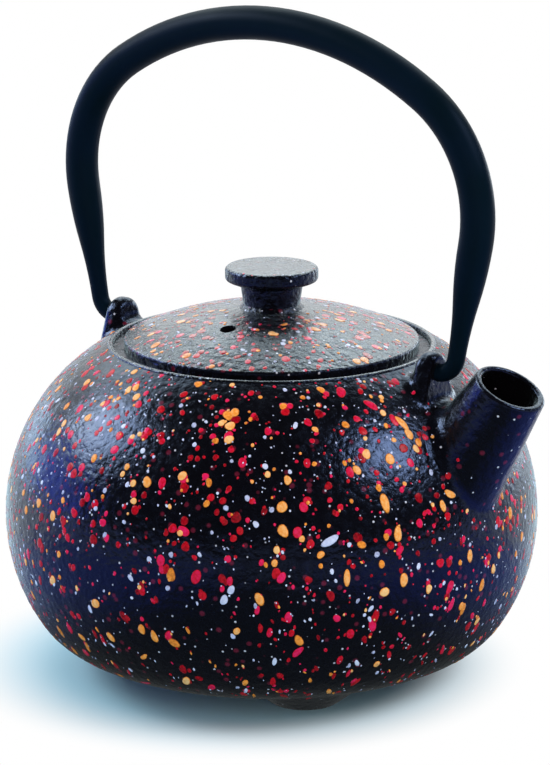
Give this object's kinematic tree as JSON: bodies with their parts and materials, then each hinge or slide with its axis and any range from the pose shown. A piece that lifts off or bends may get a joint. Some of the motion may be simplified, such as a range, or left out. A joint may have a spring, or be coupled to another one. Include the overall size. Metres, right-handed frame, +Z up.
{
  "type": "teapot",
  "caption": "Round cast-iron teapot with a short spout, a domed lid with a knob, a swinging bail handle and a lift-out mesh infuser, in speckled black enamel.",
  "frame": {"origin": "on the pot's axis, in the plane of the floor that its feet stand on", "axes": "+Z up along the pot's axis; +X towards the spout, along the handle's pivot axis; +Y completes a right-handed frame"},
  "size_m": [0.1743, 0.16, 0.1999],
  "materials": {
    "speckled_enamel": "glossy black enamel on cast iron, pebbled, with random specks of red, orange and white paint",
    "handle_enamel": "satin blue-black enamel on cast iron",
    "sheet_steel": "satin stainless sheet",
    "mesh_steel": "woven stainless wire",
    "fastener_steel": "plain steel"
  },
  "bodies": {
    "pot": {"pot_body": "speckled_enamel"},
    "handle": {"bail_handle": "handle_enamel"},
    "infuser": {"infuser_rim": "sheet_steel", "infuser_mesh_wall": "mesh_steel", "infuser_base_ring": "sheet_steel", "infuser_mesh_base": "mesh_steel"},
    "lid": {"lid": "speckled_enamel", "lid_knob": "speckled_enamel", "knob_washer": "fastener_steel", "knob_screw": "fastener_steel"}
  },
  "joints": [
    {"name": "handle_swing", "type": "hinge", "parent": "pot", "child": "handle", "pos_m": [0, 0, 0.09947], "axis": [1, 0, 0], "range_deg": [-116, 116]},
    {"name": "infuser_lift", "type": "slide", "parent": "pot", "child": "infuser", "axis": [0, 0, 1], "range_m": [0, 0.06]},
    {"name": "lid_lift", "type": "slide", "parent": "infuser", "child": "lid", "axis": [0, 0, 1], "range_m": [0, 0.06]}
  ]
}
